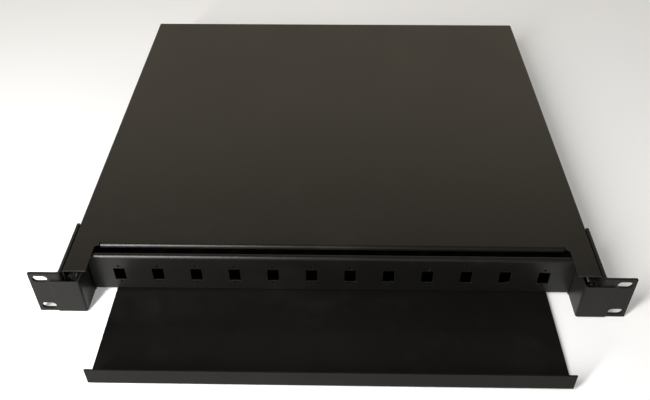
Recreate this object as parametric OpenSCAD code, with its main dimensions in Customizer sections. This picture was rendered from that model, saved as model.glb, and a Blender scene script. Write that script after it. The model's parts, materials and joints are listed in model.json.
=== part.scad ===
// One-unit sliding fiber termination box. A drawer with twelve simplex adapter ports runs out of a
// rack-mounted steel sleeve on two ball-bearing slides. Its floor reaches forward as a patch-cord tray.
// +X is to the right seen from the front, +Y to the rear and +Z up. The origin is the centre of the
// four rack slots, on the rear face of the ears. Inside the modules Z is measured from the underside.

/* [Rack face] */
// Width over both ears
rack_w = 482.6; // [482:0.1:483.4]
// Height of one rack unit
rack_h = 43.9; // [43.4:0.1:44.4]
// Distance between the left and the right slots
slot_span = 465.1; // [464.5:0.1:465.7]
// Distance between the upper and the lower slots
slot_pitch = 31.75; // [31.5:0.05:32]
// Length of a rack slot
slot_len = 12; // [10:0.5:13]
// Height of a rack slot
slot_h = 6.8; // [6.4:0.1:7.2]
// Thickness of the ear brackets
ear_t = 2.4; // [2:0.1:2.6]
// Length of an ear bracket along the sleeve
ear_reach = 57; // [52:1:70]

/* [Sleeve] */
// Width of the sleeve
body_w = 430; // [428:0.5:431]
// Depth of the sleeve behind the ears
body_d = 418; // [415:1:430]
// Thickness of the folded sheet steel
sheet = 1.2; // [1:0.1:1.2]
// Inside radius of the bends
bend_r = 0.8; // [0.6:0.1:1]
// Inside radius of the rounded front edges of the cover and of the adapter panel
front_bend_r = 1.6; // [1:0.1:1.8]
// Width of the two arms of the cover beside the recess
arm_w = 19.5; // [18:0.5:21]
// Depth of the recess in the front edge of the cover
recess_d = 31; // [29:0.5:33]

/* [Drawer] */
// Clear width between the side walls of the recess
opening_w = 402; // [401:0.5:403]
// Distance from the ears back to the adapter panel
panel_y = 19.5; // [18:0.5:20.5]
// Width of the patch-cord tray
tray_w = 364; // [350:1:370]
// Reach of the tray in front of the ears
tray_reach = 75; // [50:1:90]
// Height of the lip at the front of the tray
lip_h = 17; // [12:0.5:20]
// Width of each face flange in front of an ear
flange_w = 24; // [22:0.5:24.5]
// Travel of the drawer
travel = 260; // [240:1:262]

/* [Ports] */
// Number of adapter ports
port_count = 12; // [2:2:12]
// Distance between ports
port_pitch = 32; // [30:0.5:32.5]
// Width of a port
port_w = 9.5; // [9:0.1:10]
// Height of a port
port_h = 13.2; // [12.8:0.1:13.4]
// Distance between the two screw holes of a port
port_screw_span = 18; // [17.5:0.1:19]
// Diameter of the screw holes of a port
port_screw_d = 2.2; // [2:0.1:2.4]

/* [Slides] */
// Length of the inner rails
rail_len = 350; // [345:1:352]
// Radius of the bearing balls
ball_r = 1.95; // [1.9:0.01:1.97]
// Number of balls in each row
ball_count = 8; // [4:1:8]

/* [Inside] */
// Length of the splice cassette across the drawer
cassette_w = 172; // [160:1:180]
// Width of the splice cassette along the drawer
cassette_d = 118; // [110:1:124]
// Hub radius of a slack spool
spool_r = 28; // [25:1:32]
// Bore of the sealing insert in a cable gland
gland_bore_r = 5; // [3:0.5:6]

/* [Hidden] */
$fn = 48;
bend_steps = 6;
sides = [-1, 1];

// Screws, by radius: shank, clearance hole, tapped hole and countersunk or pan head
m3_r = 1.5;
m3_clear = 1.6;
m3_tap = 1.55;
m3_flat_head = 2.75;
m3_pan_head = [2.8, 1.8];
m3_nut = [5.5, 2.4];
m4_r = 1.9;
m4_clear = 2.1;
m4_flat_head = [3.75, 1.9];

half_w = body_w / 2;
wall_in = half_w - sheet;
cover_y0 = 1.5;
cover_under = rack_h - sheet;
fold_z = rack_h - 3.2;
fold_run = 6;
bend_relief = 0.8;
recess_corner_r = 3;
ear_screw_ys = [20, 44];
ear_screw_zs = [4.6, rack_h - 4.7];
clinch_nut = [3, 2];
rear_y = body_d - 1.2;
bottom_y0 = 28;
bottom_lap = 30;
bottom_rear_half = 190;
flange_y0 = 60;
flange_y1 = body_d - 20;
flange_top = 7.2;
floor_screw_ys = [100, 240, 380];
floor_screw_z = 4;
vent_xs = [-120, -40, 40, 120];
vent_ys = [110, 200, 290];
vent_size = [40, 5];
return_len = 14;
return_screw_y = rear_y - return_len / 2;
return_screw_zs = [15, 31];

drawer_z = 1.6;
floor_top = drawer_z + sheet;
recess_x = opening_w / 2;
drawer_half = recess_x + sheet;
tray_y0 = panel_y + 2 * sheet + 0.4;
tray_y1 = body_d - 20;
tray_wall_top = 33;
tray_rear_wall_top = 12;
face_y = -ear_t - 0.3 - sheet;
panel_top = 42.2;
panel_half = recess_x - 0.9;
tab_w = 12;
tab_bottom = floor_top + sheet + front_bend_r;
panel_flange_d = 12;
panel_return_d = 4;
recess_wall_top = 37;
face_flange_top = 36.2;
face_flange_bottom = 1;
port_z = 21.5;
panel_screw_xs = [-150, -50, 50, 150];
panel_screw_y = panel_y + 8;

slide_z = 22;
slide_y0 = 4;
slide_gap = wall_in - drawer_half;
ball_u = slide_gap / 2;
ball_v = 10.2;
race_r = 2;
rail_t = 1.2;
outer_half_h = ball_v + race_r + rail_t / 2;
inner_half_h = ball_v - race_r - rail_t / 2;
outer_rail_len = rail_len + 10;
outer_screw_ys = [24, 170, 330];
inner_screw_ys = [60, 190, 330];
ball_pitch = 10;
cage_len = 86;
cage_y0 = slide_y0 + 2 + travel / 2;
cage_t = 0.6;
cage_u = 1.7;
cage_v = ball_v + 0.45;
stop_gap = 0.5;

inside_y = 215;
cassette_z = floor_top + 3;
cassette_h = 9;
cassette_t = 1.5;
cassette_r = 22;
cassette_stud_x = cassette_w / 2 + 8;
comb_slots = 6;
spool_x = 150;
spool_h = 18;
spool_rim = 9;
spool_wall = 2;
spool_rim_t = 1.6;
comb_pitch = 5.2;
comb_w = 26;
comb_h = 6;
comb_slot_w = 3.4;
clip_places = [[-175, 90], [-60, 90], [60, 90], [175, 90], [-60, 340], [60, 340]];
clamp_xs = [-150, 150];
clamp_y = 370;
clamp_screw_dxs = [-14, 14];
tie_slot_xs = [-90, -30, 30, 90];
tie_slot_ys = [378, 387];
tie_slot = [12, 3];

entry_z = 22;
gland_xs = [-170, 170];
plug_xs = [-132, 132];
thread_r = 10;
thread_clear = 0.25;
gland_hex = 24;
gland_neck_r = 9;
stud_r = 3;
stud_hex = [10, 4];
washer = [6, 1.1];

// Turns a sharp corner list into stations [x, y, heading] whose corners have radius r.
function heading(a, b) = atan2(b.y - a.y, b.x - a.x);
function left_of(h) = [-sin(h), cos(h)];
function ball_y(i) = cage_y0 + cage_len / 2 + (i - (ball_count - 1) / 2) * ball_pitch;
function wrap(a) = a > 180 ? a - 360 : a < -180 ? a + 360 : a;
function rounded_path(p, r) = [
    [p[0].x, p[0].y, heading(p[0], p[1])],
    for (i = [1:len(p) - 2])
        let (
            h1 = heading(p[i - 1], p[i]),
            turn = wrap(heading(p[i], p[i + 1]) - h1),
            side = sign(turn),
            start = p[i] - r * tan(abs(turn) / 2) * [cos(h1), sin(h1)],
            centre = start + side * r * left_of(h1)
        )
        for (k = [0:bend_steps])
            let (h = h1 + turn * k / bend_steps, q = centre - side * r * left_of(h))
            [q.x, q.y, h],
    [p[len(p) - 1].x, p[len(p) - 1].y, heading(p[len(p) - 2], p[len(p) - 1])]
];

// Section of a sheet of thickness t that follows the middle line p, bent to inside radius r.
module sheet_strip(p, t = sheet, r = bend_r) {
    path = rounded_path(p, r + t / 2);
    polygon(concat(
        [for (s = path) [s.x, s.y] + t / 2 * left_of(s.z)],
        [for (i = [len(path) - 1:-1:0]) [path[i].x, path[i].y] - t / 2 * left_of(path[i].z)]
    ));
}

// Outline of a w by d rectangle with corner radius r.
function rounded_rectangle(w, d, r) = [
    for (corner = [[1, 1, 0], [-1, 1, 90], [-1, -1, 180], [1, -1, 270]])
        for (k = [0:bend_steps])
            let (a = corner.z + 90 * k / bend_steps)
            [corner.x * (w / 2 - r) + r * cos(a), corner.y * (d / 2 - r) + r * sin(a)]
];

module along_x(x0, x1) translate([x0, 0, 0]) rotate([90, 0, 90]) linear_extrude(x1 - x0) children();
module along_y(y0, y1) translate([0, y1, 0]) rotate([90, 0, 0]) linear_extrude(y1 - y0) children();
module along_z(z0, z1) translate([0, 0, z0]) linear_extrude(z1 - z0) children();
module block(low, high) translate(low) cube(high - low);
module rod_x(x0, x1, y, z, r) translate([x0, y, z]) rotate([0, 90, 0]) cylinder(h = x1 - x0, r = r);
module rod_y(y0, y1, x, z, r) translate([x, y0, z]) rotate([-90, 0, 0]) cylinder(h = y1 - y0, r = r);
module rod_z(z0, z1, x, y, r) translate([x, y, z0]) cylinder(h = z1 - z0, r = r);
module mirrored(side) scale([side, 1, 1]) children();
module hex(across, h) cylinder(h = h, r = across / 2 / cos(30), $fn = 6);
module hole(r) translate([0, 0, -4]) cylinder(h = 8, r = r);

// Cross recess cut in the top of a screw head.
module cross_recess(size, depth) {
    for (turn = [0, 90])
        rotate(turn) translate([-size / 2, -size / 10, -depth]) cube([size, size / 5, depth + 1]);
}

// Pan-head screw whose head stands on Z = 0 and whose shank runs down from it.
module pan_screw(shank_r, len, head_r, head_h) {
    difference() {
        union() {
            cylinder(h = head_h * 0.55, r = head_r);
            translate([0, 0, head_h * 0.55]) cylinder(h = head_h * 0.45, r1 = head_r, r2 = head_r * 0.72);
            translate([0, 0, -len]) cylinder(h = len + 0.1, r = shank_r);
        }
        translate([0, 0, head_h]) cross_recess(head_r * 1.1, head_h * 0.5);
    }
}

// Countersunk screw whose flat top lies at Z = 0 and whose shank runs down.
module flat_screw(shank_r, len, head_r, head_h) {
    difference() {
        union() {
            translate([0, 0, -head_h]) cylinder(h = head_h, r1 = shank_r, r2 = head_r);
            translate([0, 0, -len]) cylinder(h = len - head_h + 0.01, r = shank_r);
        }
        cross_recess(head_r * 1.1, head_h * 0.6);
    }
}

// Cut for a countersunk screw, on the same frame as the screw.
module flat_screw_cut(shank_r, depth, head_r, head_h) {
    translate([0, 0, -head_h]) cylinder(h = head_h, r1 = shank_r, r2 = head_r);
    cylinder(h = 1, r = head_r);
    translate([0, 0, -depth]) cylinder(h = depth, r = shank_r);
}

// M3 countersunk screw through a sheet of thickness t, and the hole that it sits in.
module m3_flat_screw(len, t = sheet) flat_screw(m3_r, len, m3_flat_head, t);
module m3_flat_hole(t = sheet) flat_screw_cut(m3_clear, 4, m3_flat_head + 0.05, t);

module hex_nut(across, h, bore_r) {
    difference() {
        hex(across, h);
        translate([0, 0, -1]) cylinder(h = h + 2, r = bore_r);
    }
}

// Puts a screw's own frame on the right or left side wall, head outwards.
module on_wall(side, x, y, z) translate([side * x, y, z]) rotate([0, side * 90, 0]) children();

/* Sleeve */

module recess_cut() {
    half = half_w - arm_w;
    linear_extrude(rack_h) difference() {
        translate([-half, cover_y0 - 1]) square([2 * half, recess_d - cover_y0 + 1]);
        for (side = sides) mirrored(side) difference() {
            translate([half - recess_corner_r, recess_d - recess_corner_r]) square(recess_corner_r + 1);
            translate([half - recess_corner_r, recess_d - recess_corner_r]) circle(r = recess_corner_r);
        }
    }
}

module sleeve_cover() {
    edge = half_w - sheet / 2;
    top = rack_h - sheet / 2;
    fold_half = half_w - arm_w - recess_corner_r - 1;
    fold_y = recess_d + sheet / 2;
    bend_y = recess_d + front_bend_r + sheet;
    color("#2c2b29") {
        difference() {
            along_y(cover_y0, body_d) sheet_strip([[-edge, 0], [-edge, top], [edge, top], [edge, 0]]);
            translate([0, 0, rack_h / 2]) recess_cut();
            block([-fold_half, recess_d - 1, rack_h / 2],
                  [fold_half, recess_d + fold_run - 2, rack_h + 1]);
            block([-fold_half - bend_relief, recess_d - 1, rack_h / 2],
                  [fold_half + bend_relief, bend_y + bend_relief, rack_h + 1]);
            for (side = sides) {
                for (y = ear_screw_ys, z = ear_screw_zs)
                    on_wall(side, half_w, y, z) hole(m4_clear);
                for (y = floor_screw_ys)
                    on_wall(side, half_w, y, floor_screw_z) m3_flat_hole();
                for (z = return_screw_zs)
                    on_wall(side, half_w, return_screw_y, z) m3_flat_hole();
                for (y = outer_screw_ys)
                    on_wall(side, half_w, y, slide_z) hole(m3_clear);
            }
        }
        along_x(-fold_half, fold_half)
            sheet_strip([[fold_y, fold_z], [fold_y, top], [recess_d + fold_run, top]],
                        r = front_bend_r);
    }
}

module sleeve_bottom() {
    edge = wall_in - sheet / 2;
    middle = sheet / 2;
    color("#2a2927") difference() {
        union() {
            block([-wall_in + 2.4, bottom_y0, 0], [wall_in - 2.4, rear_y - 3 * sheet, sheet]);
            along_y(flange_y0, flange_y1) sheet_strip([
                [-edge, flange_top], [-edge, middle], [edge, middle], [edge, flange_top]
            ]);
            along_x(-bottom_rear_half, bottom_rear_half) sheet_strip([
                [rear_y - bottom_lap, middle], [rear_y - 1.5 * sheet, middle],
                [rear_y - 1.5 * sheet, flange_top]
            ]);
        }
        for (side = sides, y = floor_screw_ys) on_wall(side, wall_in, y, floor_screw_z) hole(m3_tap);
        for (x = vent_xs, y = vent_ys)
            translate([x - vent_size.x / 2, y, -1]) cube([vent_size.x, vent_size.y, sheet + 2]);
    }
}

module rear_panel() {
    edge = wall_in - sheet / 2 - 0.05;
    color("#2a2927") difference() {
        along_z(0.2, cover_under - 0.4)
            sheet_strip([[-edge, rear_y - return_len], [-edge, rear_y - sheet / 2],
                         [edge, rear_y - sheet / 2], [edge, rear_y - return_len]]);
        for (x = concat(gland_xs, plug_xs))
            rod_y(rear_y - 3, rear_y + 3, x, entry_z, thread_r + thread_clear);
        rod_y(rear_y - 3, rear_y + 3, 0, entry_z, stud_r + 0.1);
        for (side = sides, z = return_screw_zs) on_wall(side, wall_in, return_screw_y, z) hole(m3_tap);
    }
}

module sleeve_screws() {
    len = 2 * sheet + 2;
    color("#3a3a3a") for (side = sides) {
        for (y = floor_screw_ys) on_wall(side, half_w, y, floor_screw_z) m3_flat_screw(len);
        for (z = return_screw_zs) on_wall(side, half_w, return_screw_y, z) m3_flat_screw(len);
    }
}

/* Rack ears */

module slot_cut() {
    straight_half = (slot_len - slot_h) / 2;
    translate([-straight_half, -10, -slot_h / 2]) cube([2 * straight_half, 20, slot_h]);
    for (end = sides) rod_y(-10, 10, end * straight_half, 0, slot_h / 2);
}

module rack_ear(side) {
    flange_x = half_w + ear_t / 2;
    face = -ear_t / 2;
    color("#26292b") difference() {
        mirrored(side) along_z(0, rack_h)
            sheet_strip([[rack_w / 2, face], [flange_x, face], [flange_x, ear_reach]], ear_t, 1);
        for (end = sides)
            translate([side * slot_span / 2, 0, rack_h / 2 + end * slot_pitch / 2]) slot_cut();
        for (y = ear_screw_ys, z = ear_screw_zs)
            on_wall(side, half_w + ear_t, y, z)
                flat_screw_cut(m4_clear, 4, m4_flat_head.x + 0.05, m4_flat_head.y);
    }
}

module ear_screws() {
    color("#4a4a48") for (side = sides, y = ear_screw_ys, z = ear_screw_zs)
        on_wall(side, half_w + ear_t, y, z)
            flat_screw(m4_r, ear_t + sheet + clinch_nut.y, m4_flat_head.x, m4_flat_head.y);
}

module ear_clinch_nuts() {
    color("silver") for (side = sides, y = ear_screw_ys, z = ear_screw_zs)
        difference() {
            on_wall(side, wall_in - clinch_nut.y, y, z) cylinder(h = clinch_nut.y, r = clinch_nut.x);
            on_wall(side, wall_in - clinch_nut.y, y, z) hole(m4_r + 0.1);
        }
}

/* Slides: U runs from the sleeve wall towards the drawer and V up from the middle of the rail */

module slide_frame(side) translate([side * wall_in, 0, slide_z]) mirrored(-side) children();

module outer_rail(side) {
    web = rail_t / 2;
    lip_u = ball_u + race_r + rail_t / 2;
    lip_v = ball_v - 0.7;
    color("#b9bcbe") difference() {
        slide_frame(side) along_y(slide_y0, slide_y0 + outer_rail_len) sheet_strip([
            [lip_u, -lip_v], [lip_u, -outer_half_h], [web, -outer_half_h],
            [web, outer_half_h], [lip_u, outer_half_h], [lip_u, lip_v]
        ], rail_t, race_r);
        for (y = outer_screw_ys) on_wall(-side, -wall_in + rail_t, y, slide_z) m3_flat_hole(rail_t);
    }
}

module outer_rail_screws() {
    color("silver") for (side = sides, y = outer_screw_ys)
        on_wall(-side, -wall_in + rail_t, y, slide_z) m3_flat_screw(rail_t + sheet - 0.2, rail_t);
}

module slide_stops() {
    end = slide_y0 + outer_rail_len;
    color("#1b1b1b") for (side = sides)
        slide_frame(side) block([rail_t, end - 9, -6], [slide_gap - stop_gap, end - 1, 6]);
}

module ball_cage(side) {
    reach = ball_u + 1.7;
    web = cage_u + cage_t / 2;
    edge = cage_v + cage_t / 2;
    color("#d8d8d2") slide_frame(side) difference() {
        along_y(cage_y0, cage_y0 + cage_len)
            sheet_strip([[reach, -edge], [web, -edge], [web, edge], [reach, edge]], cage_t, 0.6);
        for (i = [0:ball_count - 1]) rod_z(-20, 20, ball_u, ball_y(i), race_r);
    }
}

module balls(side) {
    color("gainsboro") slide_frame(side) for (up = sides, i = [0:ball_count - 1])
        translate([ball_u, ball_y(i), up * ball_v])
            sphere(r = ball_r);
}

module inner_rail(side) {
    web = slide_gap - rail_t / 2;
    lip_u = ball_u - race_r - rail_t / 2;
    lip_v = ball_v + 0.15;
    color("#c3c6c8") difference() {
        slide_frame(side) along_y(slide_y0, slide_y0 + rail_len) sheet_strip([
            [lip_u, -lip_v], [lip_u, -inner_half_h], [web, -inner_half_h],
            [web, inner_half_h], [lip_u, inner_half_h], [lip_u, lip_v]
        ], rail_t, race_r);
        for (y = inner_screw_ys) on_wall(side, drawer_half, y, slide_z) hole(m3_clear);
    }
}

module inner_rail_screws() {
    color("silver") for (side = sides, y = inner_screw_ys)
        on_wall(side, drawer_half + rail_t, y, slide_z)
            pan_screw(m3_r, rail_t + sheet + m3_nut.y + 0.4, m3_pan_head.x, m3_pan_head.y);
}

module inner_rail_nuts() {
    color("silver") for (side = sides, y = inner_screw_ys)
        on_wall(side, recess_x - m3_nut.y, y, slide_z) hex_nut(m3_nut.x, m3_nut.y, m3_tap);
}

/* Drawer */

module drawer_tray() {
    edge = drawer_half - sheet / 2;
    middle = drawer_z + sheet / 2;
    front = -tray_reach + sheet / 2;
    rear = tray_y1 - sheet / 2;
    color("#201f1d") difference() {
        union() {
            difference() {
                along_y(tray_y0, tray_y1) sheet_strip([
                    [-edge, tray_wall_top], [-edge, middle], [edge, middle], [edge, tray_wall_top]
                ]);
                block([-tray_w / 2, tray_y1 - bend_r - sheet, 0], [tray_w / 2, tray_y1 + 1, floor_top + 1]);
            }
            along_x(-tray_w / 2, tray_w / 2) sheet_strip([
                [front, drawer_z + lip_h], [front, middle], [rear, middle], [rear, tray_rear_wall_top]
            ]);
        }
        for (x = panel_screw_xs)
            translate([x, panel_screw_y, drawer_z]) rotate([180, 0, 0]) m3_flat_hole();
        for (side = sides) {
            for (y = inner_screw_ys) on_wall(side, recess_x, y, slide_z) hole(m3_clear);
            for (x = [cassette_stud_x, spool_x])
                translate([side * x, inside_y, floor_top]) hole(m4_r + 0.1);
        }
        for (x = clamp_xs, dx = clamp_screw_dxs) translate([x + dx, clamp_y, floor_top]) hole(m3_clear);
        for (x = tie_slot_xs, y = tie_slot_ys)
            translate([x - tie_slot.x / 2, y, 0]) cube([tie_slot.x, tie_slot.y, floor_top + 1]);
    }
}

module adapter_panel() {
    middle = panel_y + sheet / 2;
    foot_z = floor_top + sheet / 2;
    top_z = panel_top - sheet / 2;
    color("#2b2a2b") difference() {
        along_x(-panel_half, panel_half) sheet_strip([
            [panel_y + panel_flange_d, foot_z], [middle, foot_z],
            [middle, top_z], [panel_y + panel_return_d, top_z]
        ], r = front_bend_r);
        for (i = [0:port_count - 1]) translate([(i - (port_count - 1) / 2) * port_pitch, 0, port_z]) {
            translate([-port_w / 2, panel_y - 3, -port_h / 2]) cube([port_w, 8, port_h]);
            for (up = sides)
                rod_y(panel_y - 3, panel_y + 5, 0, up * port_screw_span / 2, port_screw_d / 2);
        }
        for (x = panel_screw_xs) translate([x, panel_screw_y, floor_top]) hole(m3_clear);
    }
}

// Side wall of the recess, with the flange in front of the ear and a tab behind the panel.
module front_bracket(side) {
    wall_x = recess_x + sheet / 2;
    face = face_y + sheet / 2;
    tip = recess_x + flange_w;
    tab = panel_y + 1.5 * sheet;
    color("#2b2a2b") mirrored(side) difference() {
        along_z(face_flange_bottom, recess_wall_top)
            sheet_strip([[tip, face], [wall_x, face], [wall_x, tab], [wall_x - tab_w, tab]]);
        block([recess_x + sheet + 0.8, face_y - 1, face_flange_top], [tip + 1, 0, rack_h]);
        block([recess_x - tab_w - 1, panel_y, 0], [panel_half + 0.1, panel_y + 4, tab_bottom]);
    }
}

module panel_screws() {
    color("silver") for (x = panel_screw_xs)
        translate([x, panel_screw_y, drawer_z]) rotate([180, 0, 0])
            m3_flat_screw(2 * sheet + m3_nut.y + 1);
}

module panel_nuts() {
    color("silver") for (x = panel_screw_xs)
        translate([x, panel_screw_y, floor_top + sheet]) hex_nut(m3_nut.x, m3_nut.y, m3_tap);
}

/* Inside the drawer */

// Tray for the splices: two ring hubs hold the bare fiber, and notches in the long walls let it in.
module cassette_base() {
    hub = [54, 24, 22];
    notch = [14, 4];
    ear = [7, 3];
    color("#e7e6e1") translate([0, inside_y, cassette_z]) difference() {
        union() {
            linear_extrude(cassette_h) polygon(rounded_rectangle(cassette_w, cassette_d, cassette_r));
            for (side = sides) mirrored(side) {
                translate([cassette_stud_x, 0, 0]) cylinder(h = ear.y, r = ear.x);
                translate([cassette_w / 2 - 3, -5, 0]) cube([10, 10, ear.y]);
            }
        }
        difference() {
            translate([0, 0, cassette_t]) linear_extrude(cassette_h) polygon(rounded_rectangle(
                cassette_w - 2 * cassette_t, cassette_d - 2 * cassette_t, cassette_r - cassette_t));
            for (side = sides) translate([side * hub.x, 0, 0]) difference() {
                cylinder(h = cassette_h - 1, r = hub.y);
                cylinder(h = cassette_h + 1, r = hub.z);
            }
        }
        for (side = sides) {
            translate([side * cassette_stud_x, 0, 0]) hole(2.2);
            translate([side * (cassette_w / 2 - 28) - notch.x / 2, -cassette_d / 2 - 1, cassette_t])
                cube([notch.x, notch.y, cassette_h]);
        }
    }
}

module cassette_lid() {
    finger_r = 8;
    color([0.85, 0.93, 0.97, 0.4]) translate([0, inside_y, cassette_z + cassette_h]) difference() {
        linear_extrude(cassette_t) polygon(rounded_rectangle(cassette_w, cassette_d, cassette_r));
        for (side = sides) translate([0, side * cassette_d / 2, 0]) hole(finger_r);
    }
}

module splice_combs() {
    len = comb_slots * comb_pitch + 2;
    slot_floor = 1.2;
    color("#f4f4f0") for (side = sides)
        translate([side * (comb_w / 2 + 2), inside_y, cassette_z + cassette_t]) difference() {
            translate([-comb_w / 2, -len / 2, 0]) cube([comb_w, len, comb_h]);
            for (i = [0:comb_slots - 1]) {
                y = (i - (comb_slots - 1) / 2) * comb_pitch;
                translate([-comb_w, y - comb_slot_w / 2, slot_floor])
                    cube([2 * comb_w, comb_slot_w, comb_h]);
            }
        }
}

module cassette_studs() {
    color("silver") for (side = sides) translate([side * cassette_stud_x, inside_y, 0]) {
        rod_z(drawer_z, cassette_z + 9, 0, 0, m4_r + 0.05);
        rod_z(floor_top, cassette_z, 0, 0, 3.5);
    }
}

module cassette_thumb_nuts() {
    rib_step = 30;
    h = 6;
    color("#2a2a2a") for (side = sides) translate([side * cassette_stud_x, inside_y, cassette_z + 3])
        difference() {
            union() {
                cylinder(h = h, r = 5.5);
                for (a = [0:rib_step:359])
                    rotate(a) translate([5.2, 0, 0]) cylinder(h = h, r = 0.9, $fn = 16);
            }
            translate([0, 0, -1]) cylinder(h = h + 2, r = m4_r + 0.1);
        }
}

// Slack spool: a hollow hub with a round lower rim and four retaining tabs at the top.
module spool(side) {
    rim_r = spool_r + spool_rim;
    tab_wide = 12;
    color("#d9d9d4") translate([side * spool_x, inside_y, floor_top]) difference() {
        union() {
            cylinder(h = spool_rim_t, r = rim_r);
            cylinder(h = spool_h, r = spool_r);
            translate([0, 0, spool_h - spool_rim_t]) intersection() {
                cylinder(h = spool_rim_t, r = rim_r);
                for (a = [45, 135]) rotate(a) translate([-rim_r - 1, -tab_wide / 2, 0])
                    cube([2 * rim_r + 2, tab_wide, spool_rim_t]);
            }
        }
        translate([0, 0, 4]) cylinder(h = spool_h, r = spool_r - spool_wall);
        translate([0, 0, -1]) cylinder(h = 10, r = m4_clear);
    }
}

module spool_screws() {
    color("silver") for (side = sides)
        translate([side * spool_x, inside_y, floor_top + 4]) pan_screw(m4_r, 4 + sheet, 4, 2.2);
}

module fiber_clips() {
    wide = 10;
    color("#efefea") for (p = clip_places) translate([p.x, p.y, floor_top + 0.6]) rotate([90, 0, 0])
        linear_extrude(wide, center = true)
            sheet_strip([[-7, 3], [-7, 0], [7, 0], [7, 9], [-7, 9], [-7, 5]], 1.2, 1);
}

// Saddle over a cable: two feet and an arch, bent from strip.
module cable_clamps() {
    wide = 12;
    t = 1.2;
    color("#b4b6b8") for (x = clamp_xs) translate([x, clamp_y, floor_top]) difference() {
        rotate([90, 0, 0]) linear_extrude(wide, center = true) sheet_strip(
            [[-20, t / 2], [-9, t / 2], [-9, 11.5], [9, 11.5], [9, t / 2], [20, t / 2]], t, 1.5);
        for (dx = clamp_screw_dxs) translate([dx, 0, 0]) hole(m3_clear + 0.1);
    }
}

module cable_clamp_screws() {
    color("silver") for (x = clamp_xs, dx = clamp_screw_dxs)
        translate([x + dx, clamp_y, floor_top + 1.2])
            pan_screw(m3_r, 1.2 + sheet, m3_pan_head.x, m3_pan_head.y);
}

/* Cable entries and earth on the rear panel: each piece is turned round +Y */

module turned(x) translate([x, rear_y, entry_z]) rotate([-90, 0, 0]) children();

module gland_body(x) {
    thread_len = 11;
    hex_h = 5;
    neck_top = 13;
    color("#232323") turned(x) difference() {
        union() {
            translate([0, 0, -thread_len]) cylinder(h = thread_len + 1, r = thread_r);
            hex(gland_hex, hex_h);
            cylinder(h = neck_top, r = gland_neck_r);
        }
        translate([0, 0, -thread_len - 1]) cylinder(h = 30, r = 7.4);
    }
}

module gland_locknuts() {
    h = 5;
    color("#232323") for (x = gland_xs) turned(x) translate([0, 0, -sheet - h])
        hex_nut(gland_hex, h, thread_r + thread_clear);
}

// Sealing insert: a sleeve in the neck and a collar that the dome nut presses down.
module gland_seal(x) {
    color("#3d3d3d") turned(x) difference() {
        union() {
            translate([0, 0, 1]) cylinder(h = 12, r = 7.3);
            translate([0, 0, 13]) cylinder(h = 3, r1 = 9, r2 = 7.4);
        }
        cylinder(h = 20, r = gland_bore_r);
    }
}

module gland_dome(x) {
    foot = 5.5;
    hex_h = 8;
    cap_h = 5;
    color("#232323") turned(x) difference() {
        union() {
            translate([0, 0, foot]) hex(gland_hex, hex_h);
            translate([0, 0, foot + hex_h]) cylinder(h = cap_h, r1 = gland_hex / 2, r2 = 9.5);
        }
        translate([0, 0, 5]) cylinder(h = 8.5, r = gland_neck_r + thread_clear);
        translate([0, 0, 13.4]) cylinder(h = 3, r1 = 9.25, r2 = 7.6);
        translate([0, 0, 13]) cylinder(h = 8, r = 7.2);
    }
}

module blanking_plugs() {
    thread_len = 7;
    head = [thread_r + 2.6, 2.6];
    coin_slot = [14, 1.6, 1];
    color("#202020") for (x = plug_xs) turned(x) difference() {
        union() {
            translate([0, 0, -thread_len]) cylinder(h = thread_len + 1, r = thread_r);
            cylinder(h = head.y, r = head.x);
        }
        translate([0, 0, -thread_len - 1]) cylinder(h = thread_len, r = thread_r - 2);
        translate([-coin_slot.x / 2, -coin_slot.y / 2, head.y - coin_slot.z])
            cube([coin_slot.x, coin_slot.y, coin_slot.z + 1]);
    }
}

module earth_stud() {
    len = 18;
    color("#c9a24a") turned(0) {
        translate([0, 0, -sheet - stud_hex.y]) hex(stud_hex.x, stud_hex.y);
        translate([0, 0, -sheet - 1]) cylinder(h = sheet + 1 + len, r = stud_r);
    }
}

module earth_nuts() {
    color("#c9a24a") turned(0) for (z = [washer.y, 3 * washer.y + stud_hex.y + 1.5])
        translate([0, 0, z]) hex_nut(stud_hex.x, stud_hex.y, stud_r + 0.05);
}

module earth_washers() {
    above_nut = washer.y + stud_hex.y;
    color("silver") turned(0) for (z = [0, above_nut, above_nut + washer.y + 1.5])
        translate([0, 0, z]) difference() {
            cylinder(h = washer.y, r = washer.x);
            hole(stud_r + 0.1);
        }
}

// Moves a piece so that the origin is level with the middle of the rack slots.
module level() translate([0, 0, -rack_h / 2]) children();

level() sleeve_cover();
level() sleeve_bottom();
level() rear_panel();
level() sleeve_screws();
level() rack_ear(-1);  // rack_ear_left
level() rack_ear(1);  // rack_ear_right
level() ear_screws();
level() ear_clinch_nuts();
level() outer_rail(-1);  // outer_rail_left
level() outer_rail(1);  // outer_rail_right
level() outer_rail_screws();
level() slide_stops();
level() ball_cage(-1);  // ball_cage_left
level() ball_cage(1);  // ball_cage_right
level() balls(-1);  // balls_left
level() balls(1);  // balls_right
level() inner_rail(-1);  // inner_rail_left
level() inner_rail(1);  // inner_rail_right
level() inner_rail_screws();
level() inner_rail_nuts();
level() drawer_tray();
level() adapter_panel();
level() front_bracket(-1);  // front_bracket_left
level() front_bracket(1);  // front_bracket_right
level() panel_screws();
level() panel_nuts();
level() cassette_base();
level() cassette_lid();
level() splice_combs();
level() cassette_studs();
level() cassette_thumb_nuts();
level() spool(-1);  // spool_left
level() spool(1);  // spool_right
level() spool_screws();
level() fiber_clips();
level() cable_clamps();
level() cable_clamp_screws();
level() gland_body(gland_xs[0]);  // gland_body_left
level() gland_body(gland_xs[1]);  // gland_body_right
level() gland_locknuts();
level() gland_seal(gland_xs[0]);  // gland_seal_left
level() gland_seal(gland_xs[1]);  // gland_seal_right
level() gland_dome(gland_xs[0]);  // gland_dome_left
level() gland_dome(gland_xs[1]);  // gland_dome_right
level() blanking_plugs();
level() earth_stud();
level() earth_nuts();
level() earth_washers();
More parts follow.
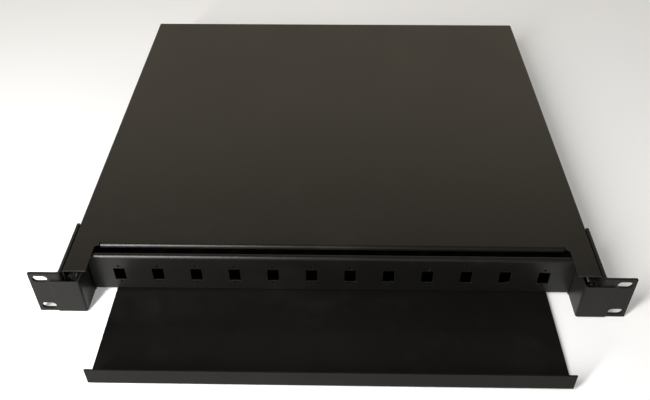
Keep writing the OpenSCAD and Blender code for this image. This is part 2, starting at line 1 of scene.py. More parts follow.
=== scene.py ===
"""Looks of the rack-mounted fiber termination box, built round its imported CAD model."""

import json
import math

import bmesh
import bpy
from mathutils import Matrix, Vector


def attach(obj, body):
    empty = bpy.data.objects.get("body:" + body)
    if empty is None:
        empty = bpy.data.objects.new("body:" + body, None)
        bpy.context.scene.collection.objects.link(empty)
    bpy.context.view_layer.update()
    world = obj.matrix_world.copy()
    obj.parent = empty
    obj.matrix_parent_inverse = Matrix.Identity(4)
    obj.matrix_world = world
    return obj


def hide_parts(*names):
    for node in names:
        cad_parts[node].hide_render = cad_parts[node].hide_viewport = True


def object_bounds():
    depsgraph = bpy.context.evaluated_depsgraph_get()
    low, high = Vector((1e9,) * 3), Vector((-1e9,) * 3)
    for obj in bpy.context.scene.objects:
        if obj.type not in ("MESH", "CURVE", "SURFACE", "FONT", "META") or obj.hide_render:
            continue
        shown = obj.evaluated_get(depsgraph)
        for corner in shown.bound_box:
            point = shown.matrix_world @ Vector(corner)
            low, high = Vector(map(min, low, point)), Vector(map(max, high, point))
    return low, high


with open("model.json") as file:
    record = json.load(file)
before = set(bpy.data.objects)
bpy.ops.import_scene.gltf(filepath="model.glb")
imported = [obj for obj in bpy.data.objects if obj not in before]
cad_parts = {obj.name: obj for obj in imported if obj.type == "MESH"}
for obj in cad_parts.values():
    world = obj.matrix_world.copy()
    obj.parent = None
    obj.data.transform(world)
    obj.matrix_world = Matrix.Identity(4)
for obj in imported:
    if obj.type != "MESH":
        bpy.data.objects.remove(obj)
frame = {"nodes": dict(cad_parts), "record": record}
cad_low, cad_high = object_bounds()
MM = 0.001


# --- Material helpers -------------------------------------------------------------------------

class Shading:
    """A Principled material, with the few node patterns that every finish here is made of."""

    def __init__(self, name):
        self.material = bpy.data.materials.new(name)
        self.material.use_nodes = True
        tree = self.material.node_tree
        tree.nodes.clear()
        self.nodes, self.links = tree.nodes, tree.links
        output = self.nodes.new("ShaderNodeOutputMaterial")
        self.shader = self.nodes.new("ShaderNodeBsdfPrincipled")
        self.links.new(self.shader.outputs["BSDF"], output.inputs["Surface"])
        self.place = self.nodes.new("ShaderNodeTexCoord").outputs["Object"]

    def set(self, **values):
        """Sets sockets that are the same all over: Metallic=1 or Coat_Weight=0.1."""
        for name, value in values.items():
            self.shader.inputs[name.replace("_", " ")].default_value = value

    def stretched(self, x=1, y=1, z=1):
        """The place on the object, stretched along each axis, for brushed and drawn grain."""
        node = self.nodes.new("ShaderNodeMapping")
        node.inputs["Scale"].default_value = (x, y, z)
        self.links.new(self.place, node.inputs["Vector"])
        return node.outputs["Vector"]

    def noise(self, scale, detail=3.0, roughness=0.55, place=None):
        """Cloudy noise from 0 to 1, with scale cells in a metre."""
        node = self.nodes.new("ShaderNodeTexNoise")
        node.inputs["Scale"].default_value = scale
        node.inputs["Detail"].default_value = detail
        node.inputs["Roughness"].default_value = roughness
        self.links.new(place or self.place, node.inputs["Vector"])
        return node.outputs["Fac"]

    def cells(self, scale, place=None):
        """Distance to the nearest of scattered points, for grains and pits."""
        node = self.nodes.new("ShaderNodeTexVoronoi")
        node.inputs["Scale"].default_value = scale
        self.links.new(place or self.place, node.inputs["Vector"])
        return node.outputs["Distance"]

    def spread(self, value, low, high, start=0.0, end=1.0):
        """value, taken from low..high to start..end and clamped."""
        node = self.nodes.new("ShaderNodeMapRange")
        for name, number in zip(("From Min", "From Max", "To Min", "To Max"), (low, high, start, end)):
            node.inputs[name].default_value = number
        self.links.new(value, node.inputs["Value"])
        return node.outputs["Result"]

    def maths(self, operation, a, b):
        """One sum of two values. Each is a number or a socket."""
        node = self.nodes.new("ShaderNodeMath")
        node.operation = operation
        for socket, value in zip(node.inputs, (a, b)):
            if isinstance(value, (int, float)):
                socket.default_value = value
            else:
                self.links.new(value, socket)
        return node.outputs["Value"]

    def mixed(self, share, a, b):
        """Colour a where share is 0, and b where it is 1. Each is a colour or a socket."""
        node = self.nodes.new("ShaderNodeMix")
        node.data_type = "RGBA"
        sockets = {socket.identifier: socket for socket in (*node.inputs, *node.outputs)}
        self.links.new(share, sockets["Factor_Float"])
        for name, value in (("A_Color", a), ("B_Color", b)):
            if isinstance(value, tuple):
                sockets[name].default_value = (*value, 1)
            else:
                self.links.new(value, sockets[name])
        return sockets["Result_Color"]

    def bump(self, height, depth_mm, before=None):
        """A bump of this height map, depth_mm from its lowest to its highest."""
        node = self.nodes.new("ShaderNodeBump")
        node.inputs["Distance"].default_value = depth_mm * MM
        self.links.new(height, node.inputs["Height"])
        if before is not None:
            self.links.new(before, node.inputs["Normal"])
        return node.outputs["Normal"]

    def drive(self, socket, value):
        """Feeds a socket of the shader from another node."""
        self.links.new(value, self.shader.inputs[socket])


# --- Finishes ---------------------------------------------------------------------------------

COAT_DARK = (0.0038, 0.0036, 0.0032)
COAT_LIGHT = (0.0058, 0.0055, 0.0049)
DUST = (0.036, 0.035, 0.031)
COAT_ROUGHNESS = (0.31, 0.39)


def powder_coat(name, gloss, lightness=1.0):
    """Fine-textured black powder coat, with a thin film of dust in clouds.

    gloss is the specular level, and lightness multiplies the coat's colour.
    """
    s = Shading(name)
    clouds = s.noise(9, 4)
    grain = s.noise(1500, 2, 0.6)
    peel = s.noise(420, 2, 0.5)
    pits = s.spread(s.cells(700), 0.0, 0.16, 0.0, 1.0)
    specks = s.spread(s.noise(2600, 1), 0.70, 0.78)
    film = s.spread(s.noise(26, 5, 0.65), 0.52, 0.80, 0.0, 0.10)
    dark, light = (tuple(lightness * channel for channel in tone) for tone in (COAT_DARK, COAT_LIGHT))
    base = s.mixed(s.spread(clouds, 0.3, 0.7), dark, light)
    base = s.mixed(s.maths("MULTIPLY", specks, 0.35), base, DUST)
    s.drive("Base Color", s.mixed(film, base, DUST))
    rough = s.maths("ADD", s.spread(clouds, 0.2, 0.8, *COAT_ROUGHNESS),
                    s.spread(grain, 0.3, 0.7, -0.03, 0.03))
    s.drive("Roughness", s.maths("ADD", rough, s.maths("MULTIPLY", film, 0.35)))
    s.set(IOR=1.5, Specular_IOR_Level=gloss)
    s.drive("Normal", s.bump(pits, 0.004, s.bump(grain, 0.010, s.bump(peel, 0.022))))
    return s.material


def rubbed_edge_and_highlight(name):
    """The coat on an edge: smoother, painted lighter than the flat coat as a highlight, and here and
    there worn to the grey steel.
    """
    s = Shading(name)
    clouds = s.noise(60, 4, 0.6)
    worn = s.spread(s.noise(240, 4, 0.65), 0.66, 0.74)
    # The edge colour is painted about three times lighter than the flat coat, as a painted highlight
    # along every edge
    base = s.mixed(s.spread(clouds, 0.35, 0.65), (0.010, 0.0095, 0.0088), (0.017, 0.0162, 0.015))
    s.drive("Base Color", s.mixed(worn, base, (0.30, 0.29, 0.28)))
    s.drive("Roughness", s.spread(clouds, 0.3, 0.7, 0.30, 0.42))
    s.drive("Metallic", s.maths("MULTIPLY", worn, 0.8))
    s.set(IOR=1.52)
    s.drive("Normal", s.bump(s.noise(1500, 2), 0.005))
    return s.material


def rolled_zinc(name):
    """Zinc-plated strip, drawn along Y, with pale bloom and faint spangle."""
    s = Shading(name)
    drawn = s.noise(160, 4, 0.6, s.stretched(9, 0.25, 9))
    bloom = s.spread(s.noise(60, 5, 0.7), 0.45, 0.75)
    spangle = s.cells(240)
    base = s.mixed(bloom, (0.55, 0.56, 0.57), (0.72, 0.72, 0.70))
    s.drive("Base Color", s.mixed(s.spread(spangle, 0.0, 0.9, 0.0, 0.35), base, (0.46, 0.47, 0.50)))
    rough = s.maths("ADD", s.spread(drawn, 0.3, 0.7, 0.20, 0.34), s.maths("MULTIPLY", bloom, 0.14))
    s.drive("Roughness", rough)
    s.set(Metallic=1.0)
    s.drive("Normal", s.bump(drawn, 0.006, s.bump(s.noise(35, 2), 0.03)))
    return s.material


def plated_fastener(name, tint, dark, roughness):
    """A plated or bare metal fitting, with fine marks and dull bruises."""
    s = Shading(name)
    marks = s.noise(900, 3, 0.6)
    bruises = s.spread(s.noise(350, 4, 0.7), 0.52, 0.72)
    s.drive("Base Color", s.mixed(bruises, tint, dark))
    s.drive("Roughness", s.maths("ADD", s.spread(marks, 0.3, 0.7, roughness - 0.06, roughness + 0.06),
                                 s.maths("MULTIPLY", bruises, 0.16)))
    s.set(Metallic=1.0)
    s.drive("Normal", s.bump(marks, 0.006))
    return s.material


def moulded(name, low, high, roughness, texture_mm, grain_scale=900):
    """Moulded plastic or rubber, with spark-eroded grain and flow clouds."""
    s = Shading(name)
    flow = s.noise(40, 4, 0.6)
    grain = s.noise(grain_scale, 3, 0.6)
    s.drive("Base Color", s.mixed(s.spread(flow, 0.3, 0.7), low, high))
    s.drive("Roughness", s.spread(grain, 0.3, 0.7, roughness - 0.06, roughness + 0.07))
    s.set(IOR=1.49)
    s.drive("Normal", s.bump(grain, texture_mm, s.bump(s.noise(70, 2), 0.02)))
    return s.material


def clear_sheet(name):
    """Clear polycarbonate with faint handling haze and fine scratches."""
    s = Shading(name)
    haze = s.noise(30, 5, 0.7)
    scratches = s.noise(700, 2, 0.5, s.stretched(1, 14, 1))
    s.drive("Roughness", s.maths("ADD", s.spread(haze, 0.4, 0.8, 0.05, 0.20),
                                 s.spread(scratches, 0.62, 0.75, 0.0, 0.12)))
    s.set(Base_Color=(0.93, 0.965, 0.975, 1), IOR=1.58, Transmission_Weight=0.95)
    s.drive("Normal", s.bump(scratches, 0.002))
    return s.material


FINISHES = {
    "black_powder_coat": powder_coat("powder_coat_black", 0.27),
    "zinc_plated_rail": rolled_zinc("zinc_rolled"),
    "polished_steel": plated_fastener("bearing_steel", (0.80, 0.80, 0.81), (0.66, 0.66, 0.68), 0.12),
    "zinc_fastener": plated_fastener("zinc_bright", (0.70, 0.71, 0.70), (0.50, 0.50, 0.48), 0.28),
    "black_fastener": plated_fastener("black_oxide", (0.060, 0.058, 0.056), (0.11, 0.10, 0.095), 0.36),
    "black_nylon": moulded("nylon_black", (0.016, 0.016, 0.017), (0.024, 0.024, 0.025), 0.48, 0.020),
    "white_plastic": moulded("abs_white", (0.74, 0.73, 0.69), (0.80, 0.79, 0.755), 0.40, 0.012),
    "clear_plastic": clear_sheet("polycarbonate_clear"),
    "black_rubber": moulded("rubber_black", (0.020, 0.020, 0.020), (0.032, 0.031, 0.030), 0.66, 0.030,
                            grain_scale=600),
    "yellow_brass": plated_fastener("brass_plain", (0.78, 0.60, 0.28), (0.50, 0.37, 0.17), 0.26),
}
# The tray's coat is duller than the cover's. That of the ears and front brackets is duller, and its
# colour is painted 2.2 times paler: painted light on their front-facing faces.
TRAY_COAT = powder_coat("powder_coat_tray", 0.07)
FRONT_COAT_PAINTED_LIGHT = powder_coat("powder_coat_front", 0.12, 2.2)
COAT_OF = {"drawer_tray": TRAY_COAT, "front_bracket_left": FRONT_COAT_PAINTED_LIGHT, "front_bracket_right": FRONT_COAT_PAINTED_LIGHT,
           "rack_ear_left": FRONT_COAT_PAINTED_LIGHT, "rack_ear_right": FRONT_COAT_PAINTED_LIGHT}
EDGE_WEAR_AND_HIGHLIGHT = rubbed_edge_and_highlight("powder_coat_edge")

SLOT_OF = {part["node"]: part["material_slot"] for part in frame["record"]["subparts"]}
BODY_OF = {name: body for body, names in frame["record"]["behaviour"]["bodies"].items()
           for name in names}


# --- CAD nodes: softened edges and finishes ---------------------------------------------------

# Vertices within WELD_MM are joined, and faces within FLAT_DEGREES of one plane are merged. Edges
# over SHARP_DEGREES are rounded, and those still over SMOOTH_DEGREES are shaded sharp.
WELD_MM = 0.002
FLAT_DEGREES = 0.2
SHARP_DEGREES = 40
SMOOTH_DEGREES = 32


def smooth_by_angle(limit_degrees):
    """A geometry nodes group that shades smooth except along edges sharper than the limit."""
    group = bpy.data.node_groups.new("smooth_by_angle", "GeometryNodeTree")
    group.interface.new_socket("Geometry", in_out="INPUT", socket_type="NodeSocketGeometry")
    group.interface.new_socket("Geometry", in_out="OUTPUT", socket_type="NodeSocketGeometry")
    start = group.nodes.new("NodeGroupInput")
    end = group.nodes.new("NodeGroupOutput")
    faces = group.nodes.new("GeometryNodeSetShadeSmooth")
    faces.domain = "FACE"
    edges = group.nodes.new("GeometryNodeSetShadeSmooth")
    edges.domain = "EDGE"
    edges.inputs["Shade Smooth"].default_value = False
    angle = group.nodes.new("GeometryNodeInputMeshEdgeAngle")
    compare = group.nodes.new("ShaderNodeMath")
    compare.operation = "GREATER_THAN"
    compare.inputs[1].default_value = math.radians(limit_degrees)
    link = group.links.new
    link(start.outputs[0], faces.inputs["Geometry"])
    link(faces.outputs[0], edges.inputs["Geometry"])
    link(angle.outputs["Unsigned Angle"], compare.inputs[0])
    link(compare.outputs[0], edges.inputs["Selection"])
    link(edges.outputs[0], end.inputs[0])
    return group


SMOOTHING = smooth_by_angle(SMOOTH_DEGREES)


def soften(obj, width_mm, clamp=True):
    """Rounds the sharp edges of a mesh by width_mm. Its own vertices stay as they are.

    Clamping holds the rounding to what the shortest edges have room for. Sheet metal goes without
    it, or the short facets of its bends would keep every edge sharp.
    """
    weld = obj.modifiers.new("weld", "WELD")
    weld.merge_threshold = WELD_MM * MM
    if width_mm:
        flat = obj.modifiers.new("flat_faces", "DECIMATE")
        flat.decimate_type = "DISSOLVE"
        flat.angle_limit = math.radians(FLAT_DEGREES)
        bevel = obj.modifiers.new("edges", "BEVEL")
        bevel.width = width_mm * MM
        bevel.segments = 2
        bevel.limit_method = "ANGLE"
        bevel.angle_limit = math.radians(SHARP_DEGREES)
        bevel.use_clamp_overlap = clamp
        bevel.loop_slide = clamp
        if len(obj.data.materials) > 1:
            bevel.material = 1
    smooth = obj.modifiers.new("smoothing", "NODES")
    smooth.node_group = SMOOTHING
    even = obj.modifiers.new("even_normals", "WEIGHTED_NORMAL")
    even.keep_sharp = True
    even.weight = 80


# Sheet metal is rounded by its full width, except the tray, whose folded corners are too tight.
# The short edges between the ribs of the thumb nuts stay sharp.
SHEET_SLOTS = ("black_powder_coat", "zinc_plated_rail")
TIGHT_NODES = ("drawer_tray",)
SHARP_NODES = ("cassette_thumb_nuts",)
# Width in mm of the rounding on each material's edges
EDGE_WIDTH = {
    "black_powder_coat": 0.15, "zinc_plated_rail": 0.10, "polished_steel": 0, "zinc_fastener": 0.08,
    "black_fastener": 0.08, "black_nylon": 0.25, "white_plastic": 0.15, "clear_plastic": 0.12,
    "black_rubber": 0.2, "yellow_brass": 0.12,
}

for node_name, node in frame["nodes"].items():
    slot_name = SLOT_OF[node_name]
    node.data.materials.clear()
    node.data.materials.append(COAT_OF.get(node_name, FINISHES[slot_name]))
    # The second material is the one that the rounded edges take
    if slot_name == "black_powder_coat":
        node.data.materials.append(FRONT_COAT_PAINTED_LIGHT if node_name.startswith("rack_ear") else EDGE_WEAR_AND_HIGHLIGHT)
    soften(node, 0 if node_name in SHARP_NODES else EDGE_WIDTH[slot_name],
           clamp=slot_name not in SHEET_SLOTS or node_name in TIGHT_NODES)


# --- Hardware: screws, nuts, glands and the earth stud, turned round their own axes -------------

# Radius that a hexagon's chamfer gains in each mm of height, and rings in the dome of a pan head
CHAMFER_SLOPE = 1.7
DOME_STEPS = 6


def even_rows(low, high, step):
    """Heights from low to high, no more than step apart."""
    count = max(1, math.ceil((high - low) / step))
    return [low + (high - low) * k / count for k in range(count + 1)]


def hexagon(across):
    """Radius of a hexagon that is across wide over its flats, with a corner at angle 0."""
    def radius(angle, height):
        return across / 2 / math.cos(angle % (math.pi / 3) - math.pi / 6)
    return radius


def threaded(low, high, major, pitch):
    """Rows of a screw thread from low to high, its turns as rings, with a chamfer at both ends."""
    turns = max(1, round((high - low) / pitch))
    step = (high - low) / turns
    minor = major - 0.6 * pitch
    flat, flank = 0.08 * step, 0.46 * step
    rows = [(low, minor)]
    for k in range(turns):
        crest = low + (k + 0.5) * step
        rows += [(crest - flat, major), (crest + flat, major),
                 (crest + flank, minor), (crest + 0.5 * step, minor)]
    return rows


def chamfered(outline, start, low, high):
    """outline, cut by two cones that have the radius start at the heights low and high."""
    def radius(angle, height):
        to_end = min(abs(height - low), abs(height - high))
        return min(outline(angle, height), start + CHAMFER_SLOPE * to_end)
    return radius


def lathe(bm, rows, steps=48, closed=False):
    """Rings of vertices joined into a wall. A closed wall's last ring is joined to its first.

    Otherwise a disc closes the first ring, and the last is returned open. A row is (height,
    radius), where radius is a number or a function of angle and height.
    """
    rings = []
    for height, radius in rows:
        ring = []
        for k in range(steps):
            angle = 2 * math.pi * k / steps
            r = radius(angle, height) if callable(radius) else radius
            ring.append(bm.verts.new((r * math.cos(angle), r * math.sin(angle), height)))
        rings.append(ring)
    pairs = list(zip(rings, rings[1:]))
    if closed:
        pairs.append((rings[-1], rings[0]))
    else:
        bm.faces.new(reversed(rings[0]))
    for low, high in pairs:
        for k in range(steps):
            after = (k + 1) % steps
            bm.faces.new((low[k], low[after], high[after], high[k]))
    return rings[-1]


def sink(bm, ring, outline, depth, taper):
    """Closes a flat ring with a recess of this outline, whose floor is taper times as large."""
    top = ring[0].co.z
    mouth = [bm.verts.new((x, y, top)) for x, y in outline]
    floor_ring = [bm.verts.new((x * taper, y * taper, top - depth)) for x, y in outline]
    edges = [bm.edges.get((a, b)) or bm.edges.new((a, b))
             for loop in (ring, mouth) for a, b in zip(loop, loop[1:] + loop[:1])]
    bmesh.ops.triangle_fill(bm, edges=edges, use_beauty=True)
    for k in range(len(mouth)):
        after = (k + 1) % len(mouth)
        bm.faces.new((mouth[k], mouth[after], floor_ring[after], floor_ring[k]))
    bm.faces.new(floor_ring)


def cross_outline(size):
    """Outline of a cross recess, size wide."""
    reach, half = size / 2, size * 0.11
    arm = [(reach, -half), (reach, half), (half, half)]
    quarter_turns = ((1, 0), (0, 1), (-1, 0), (0, -1))
    return [(x * c - y * s, x * s + y * c) for c, s in quarter_turns for x, y in arm]


def islands(node_name):
    """Lowest and highest corners, in mm, of each separate solid of a CAD node."""
    bm = bmesh.new()
    bm.from_mesh(frame["nodes"][node_name].data)
    bmesh.ops.remove_doubles(bm, verts=bm.verts, dist=0.001 * MM)
    unseen = set(bm.verts)
    boxes = []
    for seed in list(bm.verts):
        if seed not in unseen:
            continue
        unseen.discard(seed)
        stack, found = [seed], []
        while stack:
            vertex = stack.pop()
            found.append(vertex.co / MM)
            for edge in vertex.link_edges:
                other = edge.other_vert(vertex)
                if other in unseen:
                    unseen.discard(other)
                    stack.append(other)
        boxes.append([Vector(pick(co[i] for co in found) for i in range(3)) for pick in (min, max)])
    bm.free()
    return boxes


def facing(box, way):
    """Direction of a screw or nut: a fixed one, or out of or into the nearer side of the box."""
    side = math.copysign(1, (box[0].x + box[1].x) / 2)
    return {"out": Vector((side, 0, 0)), "in": Vector((-side, 0, 0)), "up": Vector((0, 0, 1)),
            "down": Vector((0, 0, -1)), "back": Vector((0, 1, 0))}[way]


def fit(box, axis):
    """Length along the axis, radius across it, and the end that the axis points to."""
    size = box[1] - box[0]
    length = abs(size.dot(axis))
    radius = min(s for s, a in zip(size, axis) if not a) / 2
    return length, radius, (box[0] + box[1]) / 2 + axis * length / 2


def place(bm, origin, axis):
    """Turns a mesh made round Z to the axis, moves it to the origin, and gives it in metres."""
    turn = Vector((0, 0, 1)).rotation_difference(axis).to_matrix().to_4x4()
    moved = Matrix.Scale(MM, 4) @ Matrix.Translation(origin) @ turn
    bmesh.ops.transform(bm, verts=bm.verts, matrix=moved)


def stand_in_for(node_name, meshes):
    """Joins the meshes into one piece that replaces a CAD node and moves with its body."""
    joined = bmesh.new()
    for bm in meshes:
        bmesh.ops.recalc_face_normals(bm, faces=bm.faces)
        part = bpy.data.meshes.new("part")
        bm.to_mesh(part)
        bm.free()
        joined.from_mesh(part)
        bpy.data.meshes.remove(part)
    mesh = bpy.data.meshes.new(node_name + "_made")
    joined.to_mesh(mesh)
    joined.free()
    obj = bpy.data.objects.new(node_name + "_made", mesh)
    bpy.context.scene.collection.objects.link(obj)
    mesh.materials.append(FINISHES[SLOT_OF[node_name]])
    soften(obj, 0)
    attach(obj, BODY_OF[node_name])
    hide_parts(node_name)


def screw(box, way, shank_r, head_h=None):
    """A screw with a cross recess: countersunk, or with a pan head where head_h is given."""
    axis = facing(box, way)
    length, head_r, top = fit(box, axis)
    tip = -length + (head_h or 0)
    tip_r, tip_h = shank_r * 0.7, shank_r * 0.35
    rows = [(tip, tip_r), (tip + tip_h, shank_r)]
    if head_h is None:
        cone_h = (head_r - shank_r) * 0.95
        rows += [(-cone_h, shank_r), (-0.12, head_r - 0.03), (-0.04, head_r), (0, head_r - 0.06)]
    else:
        rows += [(0, shank_r), (0, head_r - 0.1), (0.1, head_r), (0.5 * head_h, head_r)]
        for k in range(1, DOME_STEPS + 1):
            turn = math.pi / 2 * k / DOME_STEPS
            rows.append((head_h * (0.5 + 0.5 * math.sin(turn)), head_r * (0.68 + 0.32 * math.cos(turn))))
    recess_w, recess_h, recess_taper = head_r * 1.12, min(1.1, head_r * 0.3), 0.62
    bm = bmesh.new()
    ring = lathe(bm, rows, steps=36)
    sink(bm, ring, cross_outline(recess_w), recess_h, recess_taper)
    place(bm, top - axis * (head_h or 0), axis)
    return bm


def nut(box, way, bore_r):
    """A hexagon nut with chamfered corners and a chamfered bore."""
    axis = facing(box, way)
    height, half, top = fit(box, axis)
    outline = chamfered(hexagon(2 * half), half * 0.96, low=0, high=height)
    end = half * 0.22
    heights = (even_rows(0, end, end / 6)[:-1] + even_rows(end, height - end, height)[:-1]
               + even_rows(height - end, height, end / 6))
    mouth_r, mouth_h = bore_r * 1.1, bore_r * 0.12
    rows = [(h, outline) for h in heights]
    rows += [(height, mouth_r), (height - mouth_h, bore_r), (mouth_h, bore_r), (0, mouth_r)]
    bm = bmesh.new()
    lathe(bm, rows, steps=72, closed=True)
    place(bm, top - axis * height, axis)
    return bm


# Each node of screws: the way its heads face, the radius of its shanks, and its pan heads' height
SCREWS = {
    "sleeve_screws": ("out", 1.5), "ear_screws": ("out", 1.9), "outer_rail_screws": ("in", 1.5),
    "inner_rail_screws": ("out", 1.5, 1.8), "panel_screws": ("down", 1.5),
    "spool_screws": ("up", 1.9, 2.2), "cable_clamp_screws": ("up", 1.5, 1.8),
}
# Each node of nuts: the way they face and the radius of their bores
NUTS = {
    "inner_rail_nuts": ("in", 1.55), "panel_nuts": ("up", 1.55), "earth_nuts": ("back", 3.05),
    "gland_locknuts": ("back", 10.25),
}
for node_name, details in SCREWS.items():
    stand_in_for(node_name, [screw(box, *details) for box in islands(node_name)])
for node_name, details in NUTS.items():
    stand_in_for(node_name, [nut(box, *details) for box in islands(node_name)])


def gland_body(node_name):
    """A threaded inlet, a hexagon against the rear panel, and a threaded neck."""
    box = islands(node_name)[0]
    axis = facing(box, "back")
    length, half, top = fit(box, axis)
    thread_len, hex_h = 11, 5
    thread_r, neck_r, pitch = 10, 9, 1.5
    bore_r, mouth_r = 7.4, 7.6
    neck = thread_len + hex_h
    collar = chamfered(hexagon(2 * half), half * 0.97, low=thread_len, high=neck)
    rows = threaded(0, thread_len, thread_r, pitch)
    rows += [(h, collar) for h in even_rows(thread_len, neck, 0.25)]
    rows += threaded(neck, length, neck_r, pitch)
    rows += [(length, mouth_r), (length - 0.3, bore_r), (0.3, bore_r), (0, mouth_r)]
    bm = bmesh.new()
    lathe(bm, rows, steps=72, closed=True)
    place(bm, top - axis * length, axis)
    stand_in_for(node_name, [bm])


def gland_dome(node_name):
    """The cap nut of a gland: a hexagon that runs into a fluted dome with a rolled mouth."""
    box = islands(node_name)[0]
    axis = facing(box, "back")
    length, half, top = fit(box, axis)
    hex_h, blend_h, mouth_r, seal_r, inner_r = 8, 1.2, 9.5, 7.3, 9.25
    flutes, flute_depth = 18, 0.35
    cap_h = length - hex_h
    outline = hexagon(2 * half)

    def side(angle, height):
        flat = outline(angle, height)
        foot_cone = half * 0.97 + CHAMFER_SLOPE * height
        rise = max(0.0, height - hex_h + blend_h) / (cap_h + blend_h)
        dome = mouth_r + (half + 1.0 - mouth_r) * math.sqrt(max(0.0, 1 - rise ** 2.4))
        fade = min(1.0, 3 * rise) * min(1.0, 4 * (1 - rise))
        flute = flute_depth * max(0.0, math.cos(flutes * angle)) * fade
        return min(flat, foot_cone, dome - flute if rise else flat)

    heights = (even_rows(0, blend_h, 0.2)[:-1] + even_rows(blend_h, hex_h - blend_h, 5)[:-1]
               + even_rows(hex_h - blend_h, length - 0.15, 0.25))
    rows = [(h, side) for h in heights]
    rows += [(length, mouth_r - 0.3), (length, seal_r + 0.4), (length - 0.35, seal_r),
             (hex_h + 3, seal_r), (hex_h - 0.1, inner_r), (0.3, inner_r), (0, inner_r + 0.25)]
    bm = bmesh.new()
    lathe(bm, rows, steps=144, closed=True)
    place(bm, top - axis * length, axis)
    stand_in_for(node_name, [bm])


def blanking_plug(box):
    """A hollow threaded plug with a knurled head and a coin slot."""
    axis = facing(box, "back")
    length, head_r, top = fit(box, axis)
    head_h, knurls, knurl_depth = 2.6, 60, 0.12
    thread_r, pitch, bore_r, floor_h = 10, 1.5, 8, 1
    slot_half_l, slot_half_w, slot_depth, slot_taper = 7, 0.8, 1.0, 0.94
    base = length - head_h

    def knurled(angle, height):
        return head_r - knurl_depth - knurl_depth * math.cos(knurls * angle)

    rows = [(base - floor_h, bore_r), (0, bore_r)] + threaded(0, base, thread_r, pitch)
    rows += [(base, head_r - 0.3), (base + 0.2, knurled), (length - 0.9, knurled),
             (length - 0.45, head_r - 0.45), (length - 0.12, head_r - 0.9), (length, head_r - 1.6)]
    coin_slot = [(-slot_half_l, -slot_half_w), (slot_half_l, -slot_half_w),
                 (slot_half_l, slot_half_w), (-slot_half_l, slot_half_w)]
    bm = bmesh.new()
    ring = lathe(bm, rows, steps=240)
    sink(bm, ring, coin_slot, slot_depth, slot_taper)
    place(bm, top - axis * length, axis)
    return bm


def earth_stud(node_name):
    """An M6 stud with a hexagon head behind the panel and a chamfered tip."""
    box = islands(node_name)[0]
    axis = facing(box, "back")
    length, half, top = fit(box, axis)
    head_h, stud_r, pitch = 4, 3, 1.0
    tip_h, tip_r = 0.4, stud_r - 0.9
    head = chamfered(hexagon(2 * half), half * 0.96, low=0, high=head_h)
    rows = [(h, head) for h in even_rows(0, head_h, 0.2)]
    rows += threaded(head_h, length - tip_h, stud_r, pitch) + [(length, tip_r)]
    bm = bmesh.new()
    bm.faces.new(lathe(bm, rows))
    place(bm, top - axis * length, axis)
    stand_in_for(node_name, [bm])


for side_name in ("left", "right"):
    gland_body("gland_body_" + side_name)
    gland_dome("gland_dome_" + side_name)
stand_in_for("blanking_plugs", [blanking_plug(box) for box in islands("blanking_plugs")])
earth_stud("earth_stud")


# --- Floor, light and camera ------------------------------------------------------------------

def floor():
    """A pale paper floor, just under the object."""
    half, gap = 6.0, 0.0005
    mesh = bpy.data.meshes.new("studio_floor")
    corners = [(-half, -half, 0), (half, -half, 0), (half, half, 0), (-half, half, 0)]
    mesh.from_pydata(corners, [], [(0, 1, 2, 3)])
    obj = bpy.data.objects.new("studio_floor", mesh)
    obj.location.z = cad_low.z - gap
    bpy.context.scene.collection.objects.link(obj)
    s = Shading("studio_paper")
    s.drive("Base Color", s.mixed(s.noise(3, 2), (0.66, 0.66, 0.658), (0.69, 0.69, 0.69)))
    s.set(Emission_Color=(1.0, 1.0, 1.0, 1), Emission_Strength=0.25)
    s.drive("Roughness", s.spread(s.noise(500, 2), 0.3, 0.7, 0.80, 0.90))
    s.drive("Normal", s.bump(s.noise(900, 2), 0.02))
    mesh.materials.append(s.material)


def area_light(name, origin, target, size, watts, colour):
    """A soft rectangular lamp at the origin, turned to the target."""
    data = bpy.data.lights.new(name, "AREA")
    data.shape = "RECTANGLE"
    data.size, data.size_y = size
    data.energy = watts
    data.color = colour
    obj = bpy.data.objects.new(name, data)
    obj.location = origin
    obj.rotation_euler = (Vector(target) - Vector(origin)).to_track_quat("-Z", "Y").to_euler()
    bpy.context.scene.collection.objects.link(obj)


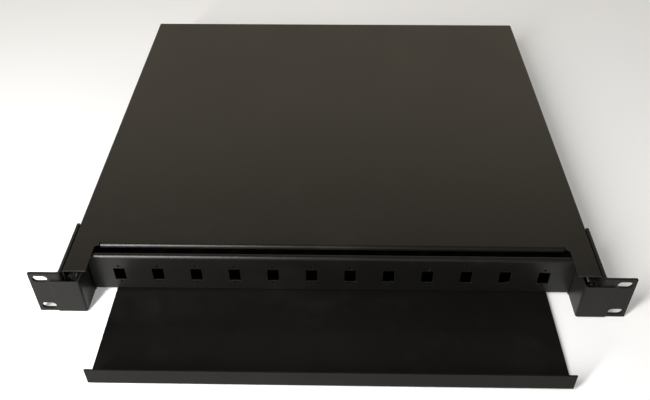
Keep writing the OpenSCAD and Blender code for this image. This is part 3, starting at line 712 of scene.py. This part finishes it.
def studio():
    """A dim room with four broad soft walls of light and a narrow window at the front left.

    Of the walls, the one behind is the brightest and the warmest, because the cover mirrors it.
    """
    world = bpy.data.worlds.new("studio")
    bpy.context.scene.world = world
    world.use_nodes = True
    background = world.node_tree.nodes["Background"]
    background.inputs["Color"].default_value = (1.0, 0.985, 0.96, 1)
    background.inputs["Strength"].default_value = 0.07
    area_light("back_wall", (-0.1, 1.9, 1.14), (-0.05, 0.2, 0), (3.8, 1.0), 14, (1.0, 0.87, 0.66))
    area_light("front_wall", (0.0, -2.0, 1.1), (0, 0.2, 0), (3.4, 0.8), 4, (0.96, 0.98, 1.0))
    area_light("left_wall", (-2.2, 0.3, 1.0), (0, 0.2, 0), (2.4, 0.8), 4, (0.97, 0.98, 1.0))
    area_light("right_wall", (2.2, 0.3, 1.0), (0, 0.2, 0), (2.4, 0.8), 4, (0.97, 0.98, 1.0))
    area_light("window", (-0.46, -0.60, 0.55), (-0.16, 0, 0.0), (0.10, 0.9), 22, (1.0, 0.985, 0.965))


def camera():
    """Above and in front, looking down at about 41 degrees and a little to the left."""
    eye = Vector((4.32, -392.53, 442.07)) * MM
    yaw, pitch, roll = 0.0215, -0.7162, -0.0052
    turn = Matrix.Rotation(yaw, 3, "Z") @ Matrix.Rotation(pitch, 3, "X")
    right, up, ahead = turn @ Vector((1, 0, 0)), turn @ Vector((0, 0, 1)), turn @ Vector((0, 1, 0))
    tilted_right = right * math.cos(roll) + up * math.sin(roll)
    tilted_up = up * math.cos(roll) - right * math.sin(roll)
    data = bpy.data.cameras.new("camera")
    data.sensor_width = 36
    data.lens = 40.06
    data.clip_start, data.clip_end = 0.01, 50
    obj = bpy.data.objects.new("camera", data)
    axes = Matrix((tilted_right, tilted_up, -ahead)).transposed()
    obj.matrix_world = Matrix.Translation(eye) @ axes.to_4x4()
    bpy.context.scene.collection.objects.link(obj)
    bpy.context.scene.camera = obj


floor()
studio()
camera()
bpy.context.scene.view_settings.view_transform = "Standard"
